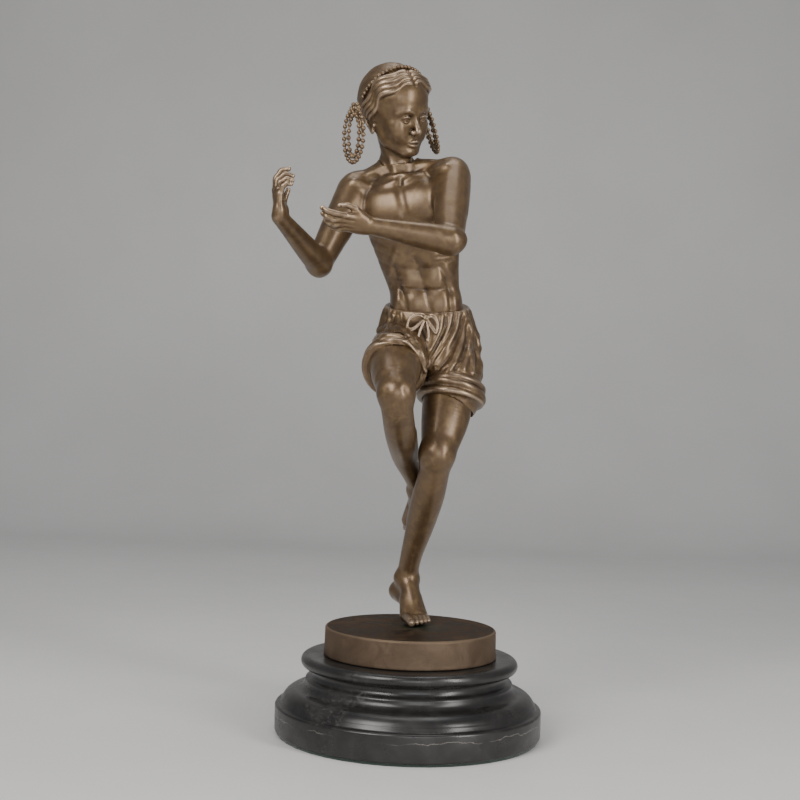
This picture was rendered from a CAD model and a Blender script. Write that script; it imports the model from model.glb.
"""The looks of the dancer trophy: patinated bronze castings on a turned black marble base.

The castings are sculpted here in millimetres, as signed distances on grids, in the CAD part's own frame.
Each casting is then meshed on its own. Castings that share a limb run a little into one another, because
the seams of such a bronze are brazed and filed flush.
"""

import math

import bmesh
import bpy
import numpy as np
from mathutils import Euler, Matrix, Vector


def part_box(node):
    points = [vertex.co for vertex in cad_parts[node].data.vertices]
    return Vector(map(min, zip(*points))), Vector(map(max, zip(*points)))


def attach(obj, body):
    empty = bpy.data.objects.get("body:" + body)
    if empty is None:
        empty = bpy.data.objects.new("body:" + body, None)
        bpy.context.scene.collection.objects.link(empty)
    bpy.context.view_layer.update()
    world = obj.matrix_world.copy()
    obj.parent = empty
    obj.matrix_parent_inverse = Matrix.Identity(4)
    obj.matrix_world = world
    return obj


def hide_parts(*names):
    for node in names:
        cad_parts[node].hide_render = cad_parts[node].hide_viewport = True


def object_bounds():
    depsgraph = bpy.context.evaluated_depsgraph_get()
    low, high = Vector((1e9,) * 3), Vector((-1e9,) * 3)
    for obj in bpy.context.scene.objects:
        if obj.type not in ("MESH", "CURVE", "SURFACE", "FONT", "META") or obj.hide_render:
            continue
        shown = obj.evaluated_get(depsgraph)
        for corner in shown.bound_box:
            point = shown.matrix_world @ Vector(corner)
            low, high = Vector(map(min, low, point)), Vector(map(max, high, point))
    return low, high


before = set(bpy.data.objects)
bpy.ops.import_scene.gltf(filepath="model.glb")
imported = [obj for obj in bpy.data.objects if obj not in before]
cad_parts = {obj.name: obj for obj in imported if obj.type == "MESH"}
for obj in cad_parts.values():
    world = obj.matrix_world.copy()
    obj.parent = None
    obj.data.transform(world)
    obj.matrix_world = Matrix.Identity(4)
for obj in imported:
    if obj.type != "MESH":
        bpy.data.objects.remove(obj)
CAD_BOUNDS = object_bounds()

MM = 0.001  # the sculpting is done in millimetres and Blender works in metres
FAR = 8.0  # distance stored in the clay where nothing is near
SKIN = 3.5  # how far round a shape its distances are worked out
SEAM = 0.06  # width of the hairline between the shorts and the torso
LAP = 0.6  # how far each casting runs past a seam that is brazed and filed flush
ROOT = 5.0  # how far below its seam the clay of the head or an arm begins, inside the torso's
# How far apart the points of each clay's grid are.
GRID = {"torso": 0.52, "head": 0.34, "arm": 0.36, "leg": 0.44, "shorts": 0.5, "bow": 0.22}
COARSE = 1.0

rng = np.random.default_rng(7)


# ---- Small vector helpers ----------------------------------------------------------------------


def vec(*numbers):
    return np.array(numbers, float)


def unit(v):
    v = np.asarray(v, float)
    return v / np.linalg.norm(v)


def mix(a, b, share):
    return np.asarray(a, float) * (1 - share) + np.asarray(b, float) * share


def smooth_path(points, steps):
    """A Catmull-Rom curve through rows of numbers. Further columns, such as a radius, follow along."""
    points = np.asarray(points, float)
    padded = np.vstack([2 * points[0] - points[1], points, 2 * points[-1] - points[-2]])
    rows = []
    for k in range(len(points) - 1):
        p0, p1, p2, p3 = padded[k : k + 4]
        for t in np.linspace(0, 1, steps, endpoint=False):
            rows.append(
                0.5
                * (
                    2 * p1
                    + (p2 - p0) * t
                    + (2 * p0 - 5 * p1 + 4 * p2 - p3) * t**2
                    + (3 * p1 - p0 - 3 * p2 + p3) * t**3
                )
            )
    rows.append(points[-1])
    return np.array(rows)


# ---- Shapes ------------------------------------------------------------------------------------


class Ball:
    """An ellipsoid. turn is a 3 by 3 matrix whose columns are its own axes."""

    def __init__(self, centre, radii, turn=None):
        self.centre = np.asarray(centre, float)
        self.radii = np.ones(3) * radii
        self.turn = np.eye(3) if turn is None else np.asarray(turn, float)

    def parts(self):
        reach = np.sqrt(((self.turn * self.radii) ** 2).sum(1))
        yield self.centre - reach, self.centre + reach, self.distance

    def distance(self, x, y, z):
        away = [x - self.centre[0], y - self.centre[1], z - self.centre[2]]
        scaled, twice = 0.0, 0.0
        for axis, radius in zip(self.turn.T, self.radii):
            along = away[0] * axis[0] + away[1] * axis[1] + away[2] * axis[2]
            scaled = scaled + (along / radius) ** 2
            twice = twice + (along / radius**2) ** 2
        scaled = np.sqrt(scaled)
        return scaled * (scaled - 1) / np.sqrt(np.maximum(twice, 1e-9))


class Rod:
    """A tapering rod along a smooth path of [x, y, z, radius] rows, or of points and one radius."""

    def __init__(self, path, radius=None, steps=9):
        path = np.asarray(path, float)
        if radius is not None:
            path = np.column_stack([path, np.ones(len(path)) * radius])
        self.path = smooth_path(path, steps) if steps > 1 and len(path) > 2 else path

    def parts(self):
        for start, end in zip(self.path[:-1], self.path[1:]):
            reach = max(start[3], end[3])
            low = np.minimum(start[:3], end[:3]) - reach
            high = np.maximum(start[:3], end[:3]) + reach
            yield low, high, lambda x, y, z, a=start, b=end: self.distance(a, b, x, y, z)

    def distance(self, start, end, x, y, z):
        line = end[:3] - start[:3]
        px, py, pz = x - start[0], y - start[1], z - start[2]
        length2 = max(float(line @ line), 1e-9)
        t = np.clip((px * line[0] + py * line[1] + pz * line[2]) / length2, 0, 1)
        qx, qy, qz = px - t * line[0], py - t * line[1], pz - t * line[2]
        away = np.sqrt(qx * qx + qy * qy + qz * qz)
        return away - (start[3] + t * (end[3] - start[3]))


class Column:
    """Elliptical slices stacked along Z: rows of [z, x, y, half width, half depth, yaw in degrees, tilt],
    where tilt is how much a slice climbs for each millimetre towards +X."""

    def __init__(self, slices):
        self.slices = smooth_path(slices, 6)

    def parts(self):
        z, x, y, wide = self.slices[:, :4].T
        low = vec((x - wide).min(), (y - wide).min(), z.min() - 6)
        high = vec((x + wide).max(), (y + wide).max(), z.max() + 6)
        yield low, high, self.distance

    def distance(self, x, y, z):
        levels = self.slices[:, 0]

        def at(height, column):
            return np.interp(height, levels, self.slices[:, column]).astype(np.float32)

        flat = np.ravel(z)
        first = x - at(flat, 1).reshape(np.shape(z))
        height = z - at(flat, 6).reshape(np.shape(z)) * first + 0 * y
        yaw = np.radians(at(height, 5))
        dx, dy = x - at(height, 1), y - at(height, 2)
        across = dx * np.cos(yaw) + dy * np.sin(yaw)
        depth = dy * np.cos(yaw) - dx * np.sin(yaw)
        wide, deep = at(height, 3), at(height, 4)
        scaled = np.sqrt((across / wide) ** 2 + (depth / deep) ** 2)
        slope = np.sqrt((across / wide**2) ** 2 + (depth / deep**2) ** 2)
        sides = scaled * (scaled - 1) / np.maximum(slope, 1e-6)
        ends = np.maximum(levels[0] - height, height - levels[-1])
        return np.maximum(sides, ends)


# ---- Clay --------------------------------------------------------------------------------------


class Clay:
    """Distances to a surface on a grid, negative inside, that shapes are added to and cut from."""

    def __init__(self, low, high, step):
        self.step = step * COARSE
        self.axes = [np.arange(a, b + self.step, self.step, dtype=np.float32) for a, b in zip(low, high)]
        self.values = np.full([len(axis) for axis in self.axes], FAR, np.float32)

    def patch(self, low, high, margin):
        """The slices of the grid between two corners, and the points there as open axes."""
        spans = []
        for axis, a, b in zip(self.axes, low, high):
            first = max(0, int((a - margin - axis[0]) / self.step))
            last = min(len(axis), int((b + margin - axis[0]) / self.step) + 2)
            if first >= last:
                return None, None
            spans.append(slice(first, last))
        x, y, z = (axis[span] for axis, span in zip(self.axes, spans))
        return tuple(spans), (x[:, None, None], y[None, :, None], z[None, None, :])

    def nearest(self, shape, margin):
        """The distances to a whole shape, over the grid box that it reaches."""
        pieces = [(low, high, distance) for low, high, distance in shape.parts()]
        low = np.min([piece[0] for piece in pieces], axis=0)
        high = np.max([piece[1] for piece in pieces], axis=0)
        spans, _ = self.patch(low, high, margin)
        if spans is None:
            return None, None
        found = np.full(self.values[spans].shape, np.inf, np.float32)
        starts = [span.start for span in spans]
        for piece_low, piece_high, distance in pieces:
            inner, points = self.patch(piece_low, piece_high, margin)
            if inner is None:
                continue
            local = tuple(slice(s.start - o, s.stop - o) for s, o in zip(inner, starts))
            found[local] = np.minimum(found[local], distance(*points))
        return spans, found

    def add(self, shape, blend=0.0):
        spans, found = self.nearest(shape, SKIN + blend)
        if spans is not None:
            self.values[spans] = smooth_min(self.values[spans], found, blend)

    def cut(self, shape, blend=0.0):
        spans, found = self.nearest(shape, SKIN + blend)
        if spans is not None:
            self.values[spans] = -smooth_min(-self.values[spans], found, blend)

    def emboss(self, path, height, width, steps=5):
        """Raises a soft ridge along a path, or sinks a groove with a negative height."""
        spans, found = self.nearest(Rod(path, 0.0, steps=steps), 2.4 * width)
        if spans is not None:
            near = np.maximum(found, 0) / width
            self.values[spans] -= height * np.exp(-near * near)

    def keep(self, point, normal, gap=SEAM / 2):
        """Keeps what is behind a plane."""
        normal = unit(normal)
        x, y, z = self.axes
        ahead = (
            (x - point[0])[:, None, None] * normal[0]
            + (y - point[1])[None, :, None] * normal[1]
            + (z - point[2])[None, None, :] * normal[2]
        )
        self.values = np.maximum(self.values, ahead + gap)

    def sample(self, points, values=None):
        """Grid values at points, interpolated."""
        values = self.values if values is None else values
        origin = np.array([axis[0] for axis in self.axes])
        place = (points - origin) / self.step
        base = np.clip(np.floor(place).astype(int), 0, np.array(values.shape) - 2)
        part = np.clip(place - base, 0, 1)
        total = np.zeros(len(points))
        for corner in range(8):
            offset = np.array([corner & 1, corner >> 1 & 1, corner >> 2 & 1])
            weight = np.prod(np.where(offset, part, 1 - part), axis=1)
            i, j, k = (base + offset).T
            total += weight * values[i, j, k]
        return total

    def slope(self, points):
        """The outward direction at points."""
        half = self.step * 0.7
        axes = np.eye(3) * half
        slope = np.stack([self.sample(points + a) - self.sample(points - a) for a in axes], axis=1)
        return slope / np.maximum(np.linalg.norm(slope, axis=1, keepdims=True), 1e-9)

    def touch(self, points, direction, reach=60.0):
        """Moves each point along a direction until it meets the surface."""
        points = np.array(points, float)
        direction = unit(direction)
        travelled = np.zeros(len(points))
        for _ in range(int(reach / (0.5 * self.step))):
            here = self.sample(points)
            moving = (here > 0) & (travelled < reach)
            if not moving.any():
                break
            step = np.where(moving, np.maximum(here * 0.6, 0.5 * self.step), 0)
            points += step[:, None] * direction
            travelled += step
        return points

    def soften(self):
        """Rounds off details smaller than a grid step or two."""
        for axis in range(3):
            self.values = box_blur(self.values, 1, axis)

    def relief(self, radius):
        """How far each grid point stands proud of its surroundings: 1 on ridges, -1 in hollows."""
        cells = max(1, round(radius / self.step))
        raw = np.clip(self.values, -radius, radius)
        soft = raw
        for axis in range(3):
            soft = box_blur(soft, cells, axis)
        return np.clip((soft - raw) / radius * 4, -1, 1)


def smooth_min(a, b, blend):
    if blend <= 0:
        return np.minimum(a, b)
    overlap = np.maximum(blend - np.abs(a - b), 0) / blend
    return np.minimum(a, b) - overlap * overlap * blend * 0.25


def box_blur(values, cells, axis):
    """The mean over a window of 2 * cells + 1 along one axis."""
    pads = [(cells + 1, cells) if k == axis else (0, 0) for k in range(3)]
    total = np.cumsum(np.pad(values, pads, mode="edge"), axis=axis, dtype=np.float64)
    window = 2 * cells + 1
    count = values.shape[axis]
    ahead = np.take(total, np.arange(window, window + count), axis=axis)
    behind = np.take(total, np.arange(0, count), axis=axis)
    return ((ahead - behind) / window).astype(np.float32)


def surface_net(clay):
    """The clay's surface as points in millimetres and four-sided faces."""
    values = clay.values
    inside = values < 0
    counts = np.array(values.shape) - 1
    corners = [np.array([c & 1, c >> 1 & 1, c >> 2 & 1]) for c in range(8)]
    total = np.zeros(counts, np.uint8)
    for o in corners:
        total += inside[o[0] : o[0] + counts[0], o[1] : o[1] + counts[1], o[2] : o[2] + counts[2]]
    cells = np.argwhere((total > 0) & (total < 8))
    number = np.full(counts, -1, np.int32)
    number[tuple(cells.T)] = np.arange(len(cells))
    at_corner = [values[tuple((cells + o).T)] for o in corners]
    places, crossings = np.zeros((len(cells), 3)), np.zeros(len(cells))
    for a in range(8):
        for bit in (1, 2, 4):
            if a & bit:
                continue
            b = a | bit
            crossed = (at_corner[a] < 0) != (at_corner[b] < 0)
            fall = np.where(crossed, at_corner[a] - at_corner[b], 1)
            share = np.where(crossed, at_corner[a] / fall, 0)
            point = corners[a] + share[:, None] * (corners[b] - corners[a])
            places += point * crossed[:, None]
            crossings += crossed
    points = cells + places / crossings[:, None]
    faces = []
    for axis in range(3):
        one = np.eye(3, dtype=int)[axis]
        second, third = np.eye(3, dtype=int)[(axis + 1) % 3], np.eye(3, dtype=int)[(axis + 2) % 3]
        low = inside[: values.shape[0] - one[0], : values.shape[1] - one[1], : values.shape[2] - one[2]]
        high = inside[one[0] :, one[1] :, one[2] :]
        edges = np.argwhere(low != high)
        inner = np.all((edges * (1 - one) > 0) | one.astype(bool), axis=1)
        inner &= np.all((edges < counts) | one.astype(bool), axis=1)
        edges = edges[inner]
        ring = [number[tuple((edges - o).T)] for o in (0 * one, second, second + third, third)]
        quads = np.column_stack(ring)
        leaving = low[tuple(edges.T)]
        quads[~leaving] = quads[~leaving][:, ::-1]
        faces.append(quads)
    faces = np.vstack(faces)
    origin = np.array([axis[0] for axis in clay.axes])
    return origin + points * clay.step, faces[(faces >= 0).all(axis=1)]


def relaxed(points, faces, clay, rounds=2):
    """Evens the points out along the surface, and puts them back on it."""
    ends = np.vstack([faces[:, [k, (k + 1) % 4]] for k in range(4)])
    for _ in range(rounds):
        total = np.stack(
            [np.bincount(ends[:, 0], points[ends[:, 1], k], len(points)) for k in range(3)], axis=1
        )
        total += np.stack(
            [np.bincount(ends[:, 1], points[ends[:, 0], k], len(points)) for k in range(3)], axis=1
        )
        count = np.bincount(ends.ravel(), minlength=len(points))[:, None]
        points = mix(points, total / np.maximum(count, 1), 0.6)
        points = points - clay.slope(points) * np.clip(clay.sample(points), -0.5, 0.5)[:, None]
    return points


# ---- Blender objects ---------------------------------------------------------------------------


def mesh_object(name, points, faces, attributes=None):
    """A smooth-shaded mesh object from points in millimetres."""
    faces = np.asarray(faces)
    mesh = bpy.data.meshes.new(name)
    mesh.vertices.add(len(points))
    mesh.vertices.foreach_set("co", (np.asarray(points) * MM).astype(np.float32).ravel())
    mesh.loops.add(faces.size)
    mesh.loops.foreach_set("vertex_index", faces.astype(np.int32).ravel())
    mesh.polygons.add(len(faces))
    mesh.polygons.foreach_set("loop_start", np.arange(0, faces.size, faces.shape[1], dtype=np.int32))
    mesh.update(calc_edges=True)
    mesh.polygons.foreach_set("use_smooth", np.ones(len(faces), bool))
    for label, numbers in (attributes or {}).items():
        layer = mesh.attributes.new(label, "FLOAT", "POINT")
        layer.data.foreach_set("value", np.asarray(numbers, np.float32))
    obj = bpy.data.objects.new(name, mesh)
    bpy.context.scene.collection.objects.link(obj)
    return obj


def cast(name, clay, *nodes, around=None, trim=None):
    """Meshes the clay as one bronze casting that stands for the CAD nodes.

    The wear runs on across the seams: it is worked out together with what is around the casting, and
    before trim cuts the seams."""
    shape = clay.values
    if around is not None:
        clay.values = np.minimum(shape, around)
    fine, broad = clay.relief(0.9), clay.relief(3.0)
    clay.values = shape
    if trim:
        trim(clay)
    points, faces = surface_net(clay)
    points = relaxed(points, faces, clay)
    marks = {"fine_relief": clay.sample(points, fine), "broad_relief": clay.sample(points, broad)}
    return finished(mesh_object(name, points, faces, marks), "bronze", bronze, *nodes)


def finished(obj, slot, material, *nodes):
    obj.data.materials.clear()
    obj.data.materials.append(material)
    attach(obj, "root")
    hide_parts(*nodes)
    return obj


# ---- Skeleton ----------------------------------------------------------------------------------

NECK_BASE = vec(-15.8, 19, 356)
NECK_SEAM = vec(-17.2, 18.4, 366.5)
NECK_TOP = vec(-18.2, 17.4, 374)
NECK_ALONG = unit(NECK_TOP - NECK_SEAM)
SHOULDER = {"left": vec(17, 4, 356.5), "right": vec(-46, 20, 347.5)}
ELBOW = {"left": vec(16, -34, 311.5), "right": vec(-66, -6, 298)}
WRIST = {"left": vec(-35.7, -48, 318.6), "right": vec(-87.6, -51, 321)}
ARM_SEAM_SHARE = 0.42
WAIST_DIP = unit([0, -0.3, 1])
WAIST_MIDDLE = vec(4.5, 28, 276)
WAIST_BOTTOM = 264.6  # where the torso's plug ends, inside the shorts

HEAD = vec(-20.6, 6, 403.6)
HEAD_TURN = np.array(
    Euler((math.radians(18), math.radians(-12), math.radians(40)), "XYZ").to_matrix(), float
)
CAP_CENTRE = vec(0, 4, 2)
CAP_RADII = vec(22, 25, 24.5)

# Slices of the trunk: height, middle x and y, half width, half depth, yaw and tilt.
TRUNK = [
    [256, 4.8, 28.2, 24.6, 16.4, 4, -0.02],
    [266, 4.5, 28, 24.4, 16.4, 4, -0.02],
    [277, 3.6, 27.4, 23.4, 15.6, 2, 0],
    [286, 2, 26, 23.2, 15, -2, 0.03],
    [300, -1.3, 22.5, 25.6, 16, -7, 0.06],
    [312, -3.8, 18.5, 28, 17.2, -10, 0.08],
    [325, -7, 15.5, 30.2, 17.6, -12, 0.1],
    [338, -9.5, 14, 31.4, 16.4, -14, 0.12],
    [347, -12.5, 14, 30, 14.4, -14, 0.13],
    [353, -14, 14.4, 25, 12.6, -14, 0.13],
    [359, -15.4, 15, 15, 12.4, -14, 0.1],
]


def trunk(left, front, height):
    """A point of the trunk, given leftwards, forwards and at a height."""
    slices = np.array(TRUNK)
    x, y, yaw, tilt = (np.interp(height, slices[:, 0], slices[:, k]) for k in (1, 2, 5, 6))
    c, s = math.cos(math.radians(yaw)), math.sin(math.radians(yaw))
    return vec(x + left * c + front * s, y + left * s - front * c, height + left * tilt)


def trunk_turn(height):
    """The trunk's own axes at a height: left, back and up."""
    yaw = np.interp(height, [row[0] for row in TRUNK], [row[5] for row in TRUNK])
    return np.array(Matrix.Rotation(math.radians(yaw), 3, "Z"), float)


def trunk_line(*stations):
    return [trunk(*station) for station in stations]


def on_head(x, y, z):
    """A point of the head, given to its left, its back and its crown."""
    return HEAD + HEAD_TURN @ vec(x, y, z)


def head_path(*stations):
    """Head points as a path; a fourth number is a radius."""
    return [[*on_head(*station[:3]), *station[3:]] for station in stations]


def head_ball(centre, radii):
    return Ball(on_head(*centre), radii, HEAD_TURN)


# ---- Torso, neck and shoulders -----------------------------------------------------------------

FRONT = vec(0, 1, 0)  # lines seen from the front are pushed back until they meet the skin
BACK = vec(0, -1, 0)


def drawn(clay, marks, height, width, toward):
    """Embosses a line laid on the skin: the marks are moved towards it until they touch it."""
    clay.emboss(clay.touch(smooth_path(marks, 6), toward), height, width, steps=1)


def trunk_forms(clay):
    clay.add(Column(TRUNK))
    chest, belly = trunk_turn(334), trunk_turn(290)
    for side in (1, -1):
        clay.add(Ball(trunk(side * 13, 11, 336), (15, 5.6, 12), chest), 9)  # breast muscle
        clay.add(Ball(trunk(side * 15, -12.4, 339), (10, 4.8, 12), chest), 6)  # shoulder blade
        for height, front, radii in (
            (277, 12.6, (7.4, 4.2, 8.4)),
            (293, 11.4, (6.8, 4, 8)),
            (307, 11.2, (6, 4, 7.4)),
        ):
            clay.add(Ball(trunk(side * 7.8, front, height), radii, belly), 4)  # belly muscle
        clay.add(Ball(trunk(side * 17.4, 5.4, 277), (5.6, 8.4, 10), belly), 4)  # flank over the waistband
        spine_muscle = trunk_line((side * 6, -11.4, 268), (side * 6.4, -11, 290), (side * 6, -12.6, 320))
        clay.add(Rod(spine_muscle, 5), 5)


def trunk_lines(clay):
    turn = trunk_turn(300)
    front, back = turn[:, 1], -turn[:, 1]
    for stations, height, width in (
        (((1, 24, 349), (0.6, 24, 336), (0.4, 24, 322)), -1.0, 2.8),  # breastbone
        (((0, 24, 318), (0, 24, 308), (0, 22, 298)), -1.5, 6.5),  # hollow under the ribs
        (((0, 22, 312), (0, 22, 300), (0.4, 22, 286)), -0.5, 1.6),  # line down the belly
        (((0.4, 22, 285), (0.8, 22, 271)), -0.6, 1.4),  # its lower end
        (((-15, 22, 286.4), (-6, 22, 285), (6, 22, 285), (15, 22, 286.4)), -0.55, 1.1),  # line across it
        (((-14, 22, 299), (-5, 22, 298), (5, 22, 298), (14, 22, 299)), -0.25, 1.4),  # and one higher up
    ):
        drawn(clay, trunk_line(*stations), height, width, front)
    drawn(clay, trunk_line((0, -24, 352), (0, -24, 330), (0, -24, 300), (0, -24, 270)), -1.4, 3, back)
    for side in (1, -1):
        slanted = front - side * 0.6 * turn[:, 0]
        for stations, height, width in (
            (((4, 24, 325), (14, 24, 322), (23, 20, 327), (27, 16, 335)), -0.4, 3),  # under the breast
            (((3, 24, 319), (9, 22, 312), (16, 20, 302), (20, 16, 295)), 0.9, 3),  # arch of the ribs
            (((15.2, 20, 300), (15.6, 20, 288), (14.6, 20, 273)), -0.8, 1.6),  # edge of the belly
        ):
            drawn(clay, trunk_line(*[(side * x, y, z) for x, y, z in stations]), height, width, front)
        for low in (317, 310, 303):  # ribs towards the side
            rib = trunk_line((side * 21, 20, low - 3), (side * 25, 16, low), (side * 31, 6, low + 5))
            drawn(clay, rib, -0.3, 1.3, slanted)
    for side, low, depth in ((1, 305.4, 0.8), (1, 302.8, 0.6), (-1, 293, 0.5), (-1, 290.4, 0.4)):
        bend = trunk_line((side * 17, 22, low - 1), (side * 20, 16, low - 0.4), (side * 25, 10, low + 0.4))
        drawn(clay, bend, -depth, 0.7, front - side * 0.6 * turn[:, 0])  # creases where the waist bends


NOTCH = trunk(0.6, 12.2, 352.6)


def on_neck(share, azimuth, depth):
    """A point in the neck: up its length, degrees from the front to the left, and under the skin."""
    axis = mix(NECK_BASE, NECK_TOP, share)
    away = vec(math.sin(math.radians(azimuth)), -math.cos(math.radians(azimuth)), 0)
    return axis + away * (11 - depth)


def neck_forms(clay):
    clay.add(Rod([[*NECK_BASE, 11.6], [*NECK_SEAM, 11], [*NECK_TOP, 10.8], [-22, 15, 388, 10.8]]), 4)
    right_slope = [[-27, 18.6, 361.6, 7.8], [-36, 19, 356.4, 7.4], [-45, 20, 350.4, 8.4]]
    left_slope = [[-8, 16.4, 363.4, 7.2], [3, 12, 362.8, 7.2], [13.6, 6.6, 359.6, 8.8]]
    nape = [[-22, 22, 369, 6.4], [-16, 23, 362, 7.6], [-17, 25, 345, 7.6]]
    clay.add(Rod(right_slope), 5)
    clay.add(Rod(left_slope), 5)
    clay.add(Rod(nape), 6)
    for low, middle, high in ((-8, -22, -60), (10, 36, 92)):  # the two cords from the notch up to the ears
        cord = [
            [*on_neck(-0.1, low, 0.6), 1.6],
            [*on_neck(0.5, middle, 1.6), 2.1],
            [*on_neck(1.2, high, 2), 2.6],
        ]
        clay.add(Rod(cord), 3)
    clay.add(Ball(on_neck(0.6, 12, 1.8), (2.2, 2.2, 4)), 4)  # throat


def upper_arm(clay, name):
    """The shoulder, the upper arm and the elbow's bones."""
    top, elbow = SHOULDER[name], ELBOW[name]
    along = unit(elbow - top)
    bend = unit(np.cross(np.cross(along, unit(WRIST[name] - elbow)), along))

    def station(share, towards_bend, radius):
        return [*(mix(top, elbow, share) + towards_bend * bend), radius]

    core = [station(0, 0, 11.4), station(0.35, 0, 10.2), station(0.75, 0, 8.8), station(1, 0, 7.4)]
    clay.add(Rod(core), 5)
    shoulder = [station(-0.1, -1, 9.8), station(0.2, -1.4, 9.8), station(0.5, -1.4, 7.4)]
    biceps = [station(0.2, 2.4, 5.4), station(0.5, 3, 6.4), station(0.84, 2.2, 5.2)]
    triceps = [station(0.14, -2.8, 5.6), station(0.46, -3.2, 6.4), station(0.84, -2, 5.6)]
    for muscle in (shoulder, biceps, triceps):
        clay.add(Rod(muscle), 5)
    side = unit(np.cross(along, bend))
    for place, radius in ((side * 5, 3.2), (-side * 5, 3.4), (-bend * 3.2 + along * 2, 4.4)):
        clay.add(Ball(elbow + place, radius), 4)


def collar_bones(clay):
    right = [NOTCH + vec(-3, -12, 0.4), (-27, -12, 351.4), (-38, -8, 351.6), (-46, -2, 354)]
    left = [NOTCH + vec(3, -12, 0.6), (-4, -14, 358), (6, -14, 361.4), (13, -14, 363.4)]
    for bone in (right, left):
        bone = np.array(bone, float)
        drawn(clay, bone, 0.8, 2.2, FRONT)
        drawn(clay, bone + vec(0, 0, 4.8), -0.6, 2.8, FRONT)
        drawn(clay, bone - vec(0, 0, 4), -0.3, 2.6, FRONT)
    drawn(clay, [NOTCH + vec(0, -12, -1), NOTCH + vec(0, -12, 3)], -1.0, 2, FRONT)


def torso_skin(clay):
    trunk_forms(clay)
    neck_forms(clay)
    upper_arm(clay, "left")
    upper_arm(clay, "right")
    trunk_lines(clay)
    collar_bones(clay)
    for fold in (
        [(7.6, -12, 347), (9.4, -12, 340), (8.4, -12, 331)],
        [(-38.6, -8, 345), (-38, -8, 337), (-36, -8, 329)],
    ):
        drawn(clay, fold, -0.8, 2.4, FRONT)  # fold in front of the armpit
    clay.soften()


# ---- Arms and hands ----------------------------------------------------------------------------

HAND = {
    "left": {
        "thumb": [[-38.5, -50.4, 322.6], [-42, -54, 327], [-46.8, -55.2, 328.9], [-51.6, -54.8, 328.6]],
        "fingers": [
            [[-47.6, -56.4, 322.4], [-53.8, -58.2, 323.3], [-58.6, -58.4, 324.7], [-61.8, -57.4, 326.6]],
            [[-48.4, -54.8, 320.1], [-54.6, -56.4, 319.8], [-58.8, -56.4, 321.4], [-61.4, -55.2, 323.4]],
            [[-48.6, -53, 317.9], [-53.8, -54.4, 317], [-57.4, -54.2, 318.2], [-59.8, -53.2, 320]],
            [[-48, -51.2, 315.9], [-52.2, -52, 314.9], [-55.4, -51.8, 315.8], [-57.6, -50.8, 317.4]],
        ],
        "across": (0.1, -0.5, 0.86),  # from the little finger's side to the thumb's
        "palmar": (-0.1, 0.86, 0.5),
    },
    "right": {
        "thumb": [[-87, -47.4, 325.4], [-86.4, -43.8, 330.6], [-85.2, -42.4, 335.2], [-84, -42, 339]],
        "fingers": [
            [[-91, -48, 337.4], [-91.2, -46.6, 344.8], [-88, -46.4, 349.8], [-83.8, -46.8, 350.9]],
            [[-90.4, -51.2, 336.6], [-89.8, -50.8, 343.2], [-85.6, -50.8, 346.9], [-81, -51.2, 346.1]],
            [[-89.2, -54.2, 335.4], [-87.7, -55, 341.2], [-84.2, -55.2, 343.5], [-80.8, -55.6, 342.7]],
            [[-87.6, -56.8, 334], [-85.8, -58.4, 338.4], [-83.4, -58.9, 340.5], [-81, -59.2, 340]],
        ],
        "across": (0.2, 0.96, 0.2),
        "palmar": (0.95, 0, -0.3),
    },
}
FINGER_RADII = (2.1, 2.15, 2.1, 1.9)


def digit(clay, joints, radius, palmar):
    """A finger or toe: straight bones, fuller at the joints, with a nail."""
    joints = np.asarray(joints, float)
    last = len(joints) - 1
    rows = []
    for k, joint in enumerate(joints):
        taper = radius * (1 - 0.24 * k / last)
        rows.append([*joint, taper])
        if k < last:
            rows.append([*mix(joint, joints[k + 1], 0.5), taper * 0.93])
    clay.add(Rod(rows, steps=4), 0.9)
    end = unit(joints[-1] - joints[-2])
    top = unit(-palmar + end * (end @ palmar))
    axes = np.column_stack([np.cross(end, top), end, top])
    width = rows[-1][3]
    bed = joints[-1] + top * width * 0.78 + end * width * 0.1
    clay.cut(Ball(bed, (width * 0.72, width * 1.05, width * 0.42), axes), 0.2)
    clay.add(Ball(bed - top * width * 0.3, (width * 0.6, width * 0.94, width * 0.42), axes), 0.1)


def hand(clay, name):
    spec = HAND[name]
    wrist, across, palmar = WRIST[name], unit(spec["across"]), unit(spec["palmar"])
    knuckles = [vec(*joints[0]) for joints in spec["fingers"]]
    forward = unit(np.mean(knuckles, axis=0) - wrist)
    for k, knuckle in enumerate(knuckles):
        root = wrist + across * (3.3 - 2.2 * k) + forward * 1.5
        bone = [[*root, 3.1], [*mix(root, knuckle, 0.55), 2.8], [*knuckle, 2.3]]
        clay.add(Rod(bone), 2.6)
    heel = wrist + forward * 5 + palmar * 1.6
    clay.add(Ball(heel - across * 3.4, 2.9), 3)
    clay.add(Ball(heel + across * 2.6, 3.1), 3)
    clay.add(Ball(mix(knuckles[1], knuckles[2], 0.5) + palmar * 1 - forward * 2, 2.6), 3)
    thumb = np.array(spec["thumb"])
    ball = [[*wrist + across * 2.4 + forward * 2, 2.8], [*mix(thumb[0], thumb[1], 0.3), 3], [*thumb[1], 2.1]]
    clay.add(Rod(ball), 3)
    for joints, radius in zip(spec["fingers"], FINGER_RADII):
        digit(clay, joints, radius, palmar)
    digit(clay, thumb[1:], 1.95, palmar)
    for start, end in zip(knuckles[:-1], knuckles[1:]):  # tendons show as soft furrows between them
        gap = mix(start, end, 0.5) - palmar * 2.4
        clay.emboss([gap, gap - forward * 6], -0.35, 0.8)


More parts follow.
